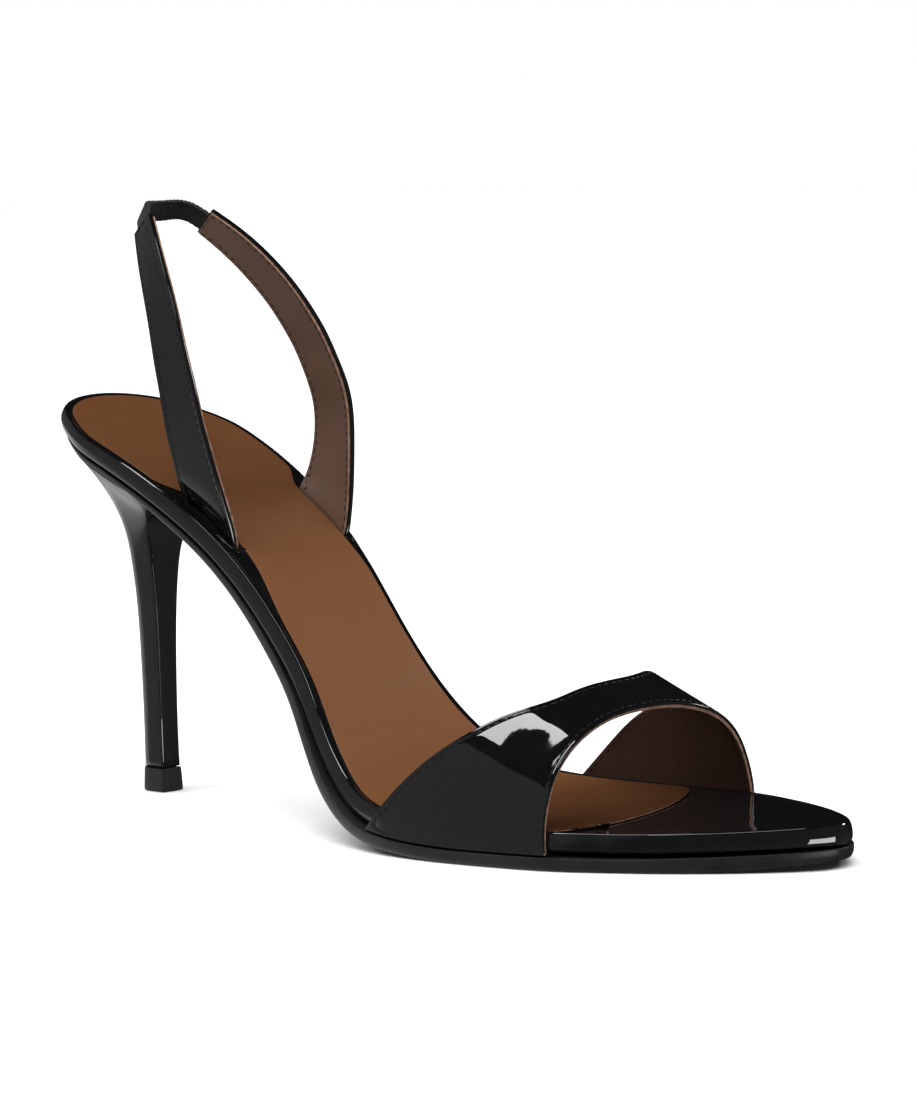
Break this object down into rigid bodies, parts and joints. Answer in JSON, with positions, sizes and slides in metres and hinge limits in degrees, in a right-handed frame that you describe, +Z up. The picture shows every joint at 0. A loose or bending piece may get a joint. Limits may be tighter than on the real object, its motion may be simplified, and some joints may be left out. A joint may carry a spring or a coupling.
{
  "type": "slingback sandal",
  "caption": "Open-toed slingback sandal for the right foot, black patent leather over a brown leather sock, with a broad vamp strap, a pointed toe and a high stiletto heel.",
  "frame": {"origin": "on the floor, under the middle of the shoe's box", "axes": "+X from the heel to the toe, +Y to the inner side of the foot, +Z up"},
  "size_m": [0.237, 0.0828, 0.1474],
  "materials": {
    "patent_leather": "black patent leather, high gloss",
    "brown_leather": "smooth brown leather, soft sheen, fine creases",
    "sole_leather": "black sole leather, satin edge",
    "elastic": "black gathered elastic, matt",
    "lift_rubber": "matt black"
  },
  "bodies": {
    "root": {"outsole": "sole_leather", "insole_board": "patent_leather", "sock": "brown_leather", "vamp_strap": "patent_leather", "sling_strap_outer": "patent_leather", "sling_strap_inner": "patent_leather", "back_elastic": "elastic", "heel": "patent_leather", "top_lift": "lift_rubber"}
  },
  "joints": []
}
